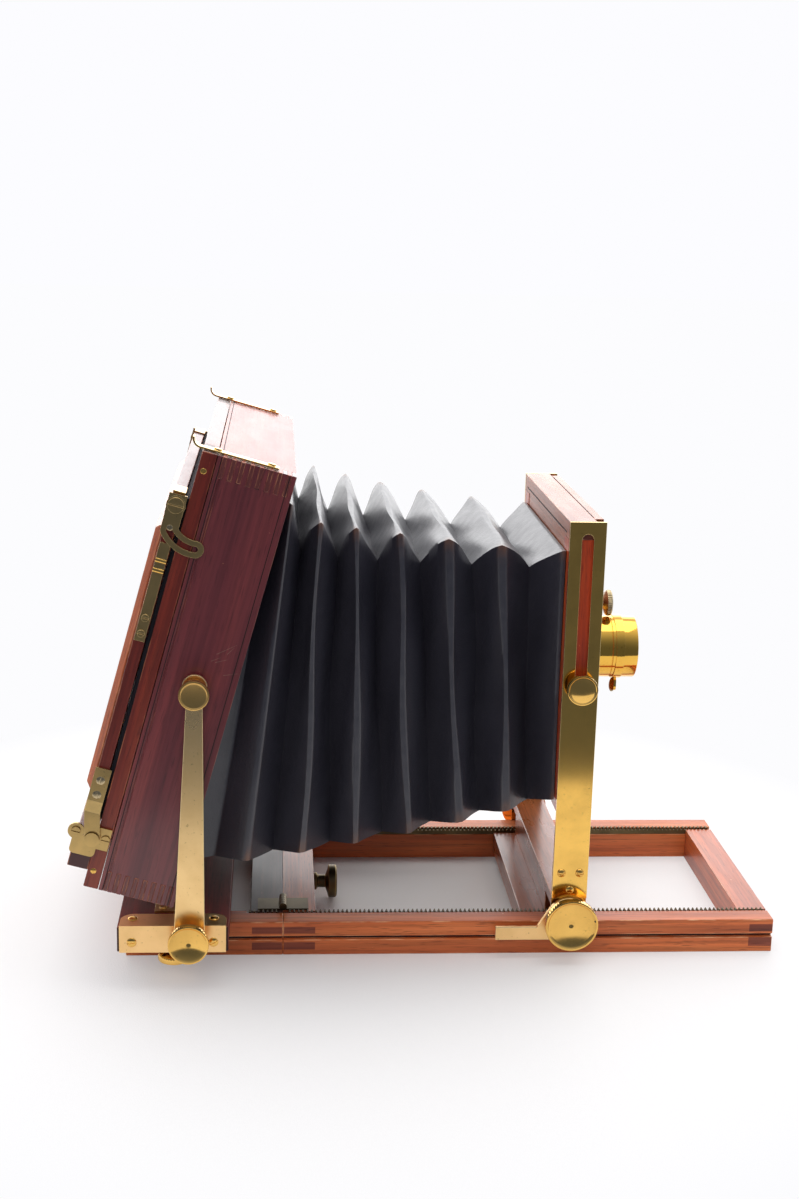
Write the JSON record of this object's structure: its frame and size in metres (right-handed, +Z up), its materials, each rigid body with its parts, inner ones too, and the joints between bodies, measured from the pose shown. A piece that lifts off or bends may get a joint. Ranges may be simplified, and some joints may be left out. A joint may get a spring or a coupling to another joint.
{
  "type": "plate field camera",
  "caption": "Folding wooden plate camera with a leaning hinged back, pleated leather bellows, rack-focused brass front standard, rising lens panel and slotted brass struts.",
  "frame": {"origin": "centre of the tripod bush's mouth, on the underside of the bed", "axes": "+X along the lens axis towards the subject, +Y to the camera's left, +Z up"},
  "size_m": [0.3283, 0.2254, 0.248],
  "materials": {
    "mahogany": "french-polished red-brown mahogany",
    "brass": "lacquered brass, dulled with age",
    "bellows_leather": "blue-black leather, worn grey along the ridges",
    "ground_glass": "finely ground on one face",
    "lens_glass": "polished"
  },
  "bodies": {
    "bed": {"rear_rails": "mahogany", "front_rails": "mahogany", "base_board": "mahogany", "rear_cross_rail": "mahogany", "front_cross_rails": "mahogany", "racks": "brass", "bed_hinges": "brass", "tripod_bush": "brass", "swing_pivot": "brass", "swing_bar": "brass"},
    "bed_lock": {"bed_lock_screw": "brass"},
    "swing_base": {"swing_board": "mahogany", "strut_plates": "brass", "plate_screws": "brass", "back_hinge_brackets": "brass"},
    "swing_clamp_left": {"swing_knob_left": "brass"},
    "swing_clamp_right": {"swing_knob_right": "brass"},
    "strut_pair": {"struts": "brass"},
    "strut_clamp_left": {"strut_knob_left": "brass"},
    "strut_clamp_right": {"strut_knob_right": "brass"},
    "back": {"box_side_left": "mahogany", "box_side_right": "mahogany", "box_bottom": "mahogany", "box_top": "mahogany", "back_hinge_leaves": "brass", "bellows": "bellows_leather"},
    "tilt_clamp_left": {"tilt_knob_left": "brass"},
    "tilt_clamp_right": {"tilt_knob_right": "brass"},
    "top_clip_left": {"top_catch_left": "brass"},
    "top_clip_right": {"top_catch_right": "brass"},
    "reversing_back": {"reversing_stiles": "mahogany", "reversing_top_rail": "mahogany", "reversing_bottom_rail": "mahogany", "screen_hinge_plates": "brass"},
    "focusing_screen": {"screen_stiles": "mahogany", "screen_rails": "mahogany", "ground_glass": "ground_glass", "glazing_beads": "mahogany", "hinge_straps": "brass", "catch_springs": "brass"},
    "catch_left": {"screen_catch_left": "brass"},
    "catch_right": {"screen_catch_right": "brass"},
    "standard": {"carriage_board": "mahogany", "standard_sill": "mahogany", "rail_shoes": "brass", "uprights": "brass", "upright_screws": "brass"},
    "focus_pinion": {"pinion_shaft": "brass", "focus_knobs": "brass"},
    "focus_lock": {"lock_lever": "brass"},
    "rising_front": {"front_stiles": "mahogany", "front_crosspieces": "mahogany", "lens_panel": "mahogany", "lens_barrel": "brass", "lens_glasses": "lens_glass"},
    "rise_clamp_left": {"rise_knob_left": "brass"},
    "rise_clamp_right": {"rise_knob_right": "brass"},
    "panel_catch": {"panel_screw": "brass"},
    "iris": {"iris_lever": "brass"}
  },
  "joints": [
    {"name": "bed_lock_turn", "type": "hinge", "parent": "bed", "child": "bed_lock", "pos_m": [0.0645, 0, 0.009], "axis": [1, 0, 0], "range_deg": [0, 180]},
    {"name": "back_swing", "type": "hinge", "parent": "bed", "child": "swing_base", "pos_m": [0, 0, 0], "axis": [0, 0, 1], "range_deg": [-4, 4], "deforming": ["bellows"]},
    {"name": "swing_clamp_left_turn", "type": "hinge", "parent": "swing_base", "child": "swing_clamp_left", "pos_m": [0, 0.088, 0.0138], "axis": [0, 0, 1], "range_deg": [0, 180]},
    {"name": "swing_clamp_right_turn", "type": "hinge", "parent": "swing_base", "child": "swing_clamp_right", "pos_m": [0, -0.088, 0.0138], "axis": [0, 0, 1], "range_deg": [0, 180]},
    {"name": "strut_turn", "type": "hinge", "parent": "swing_base", "child": "strut_pair", "pos_m": [0.0074, 0, 0.0265], "axis": [0, 1, 0], "range_deg": [-19, 4.5]},
    {"name": "strut_clamp_left_turn", "type": "hinge", "parent": "swing_base", "child": "strut_clamp_left", "pos_m": [0.0074, 0.108, 0.0265], "axis": [0, 1, 0], "range_deg": [0, 180]},
    {"name": "strut_clamp_right_turn", "type": "hinge", "parent": "swing_base", "child": "strut_clamp_right", "pos_m": [0.0074, -0.108, 0.0265], "axis": [0, 1, 0], "range_deg": [0, 180]},
    {"name": "back_tilt", "type": "hinge", "parent": "swing_base", "child": "back", "pos_m": [0.002, 0, 0.037], "axis": [0, 1, 0], "range_deg": [-20, 4], "deforming": ["bellows"]},
    {"name": "tilt_clamp_left_turn", "type": "hinge", "parent": "back", "child": "tilt_clamp_left", "pos_m": [0.00995, 0.108, 0.1397], "axis": [0, 1, 0], "range_deg": [0, 180]},
    {"name": "tilt_clamp_right_turn", "type": "hinge", "parent": "back", "child": "tilt_clamp_right", "pos_m": [0.00995, -0.108, 0.1397], "axis": [0, 1, 0], "range_deg": [0, 180]},
    {"name": "top_clip_left_lift", "type": "hinge", "parent": "back", "child": "top_clip_left", "pos_m": [0.04489, 0.094, 0.23415], "axis": [0, 1, 0], "range_deg": [0, 8], "stiffness_Nm_per_rad": 0.15},
    {"name": "top_clip_right_lift", "type": "hinge", "parent": "back", "child": "top_clip_right", "pos_m": [0.04489, -0.094, 0.23415], "axis": [0, 1, 0], "range_deg": [0, 8], "stiffness_Nm_per_rad": 0.15},
    {"name": "reversing_back_off", "type": "slide", "parent": "back", "child": "reversing_back", "axis": [-0.9652, 0, 0.2617], "range_m": [0, 0.03]},
    {"name": "screen_hinge", "type": "hinge", "parent": "reversing_back", "child": "focusing_screen", "pos_m": [-0.03443, 0, 0.07268], "axis": [0, -1, 0], "range_deg": [0, 75]},
    {"name": "catch_left_turn", "type": "hinge", "parent": "focusing_screen", "child": "catch_left", "pos_m": [0.00231, 0.1, 0.21948], "axis": [0, 1, 0], "range_deg": [0, 40]},
    {"name": "catch_right_turn", "type": "hinge", "parent": "focusing_screen", "child": "catch_right", "pos_m": [0.00231, -0.1, 0.21948], "axis": [0, 1, 0], "range_deg": [0, 40]},
    {"name": "focus", "type": "slide", "parent": "bed", "child": "standard", "axis": [1, 0, 0], "range_m": [-0.05, 0.07], "deforming": ["bellows"]},
    {"name": "focus_turn", "type": "hinge", "parent": "standard", "child": "focus_pinion", "pos_m": [0.18275, 0, 0.01969], "axis": [0, 1, 0], "range_deg": [-900, 1300]},
    {"name": "focus_lock_lift", "type": "hinge", "parent": "standard", "child": "focus_lock", "pos_m": [0.18275, 0, 0.01969], "axis": [0, 1, 0], "range_deg": [0, 50]},
    {"name": "front_rise", "type": "slide", "parent": "standard", "child": "rising_front", "axis": [0, 0, 1], "range_m": [0, 0.06], "deforming": ["bellows"]},
    {"name": "rise_clamp_left_turn", "type": "hinge", "parent": "rising_front", "child": "rise_clamp_left", "pos_m": [0.18275, 0.072, 0.1324], "axis": [0, 1, 0], "range_deg": [0, 180]},
    {"name": "rise_clamp_right_turn", "type": "hinge", "parent": "rising_front", "child": "rise_clamp_right", "pos_m": [0.18275, -0.072, 0.1324], "axis": [0, 1, 0], "range_deg": [0, 180]},
    {"name": "panel_catch_turn", "type": "hinge", "parent": "rising_front", "child": "panel_catch", "pos_m": [0.191, 0, 0.1553], "axis": [1, 0, 0], "range_deg": [0, 180]},
    {"name": "iris_turn", "type": "hinge", "parent": "rising_front", "child": "iris", "pos_m": [0.2122, 0, 0.1333], "axis": [1, 0, 0], "range_deg": [-30, 60]}
  ],
  "couplings": [
    {"joint": "focus_turn", "follows": "focus", "rad_per_m": 300.75},
    {"joint": "strut_turn", "follows": "back_tilt", "ratio": 0.904}
  ]
}
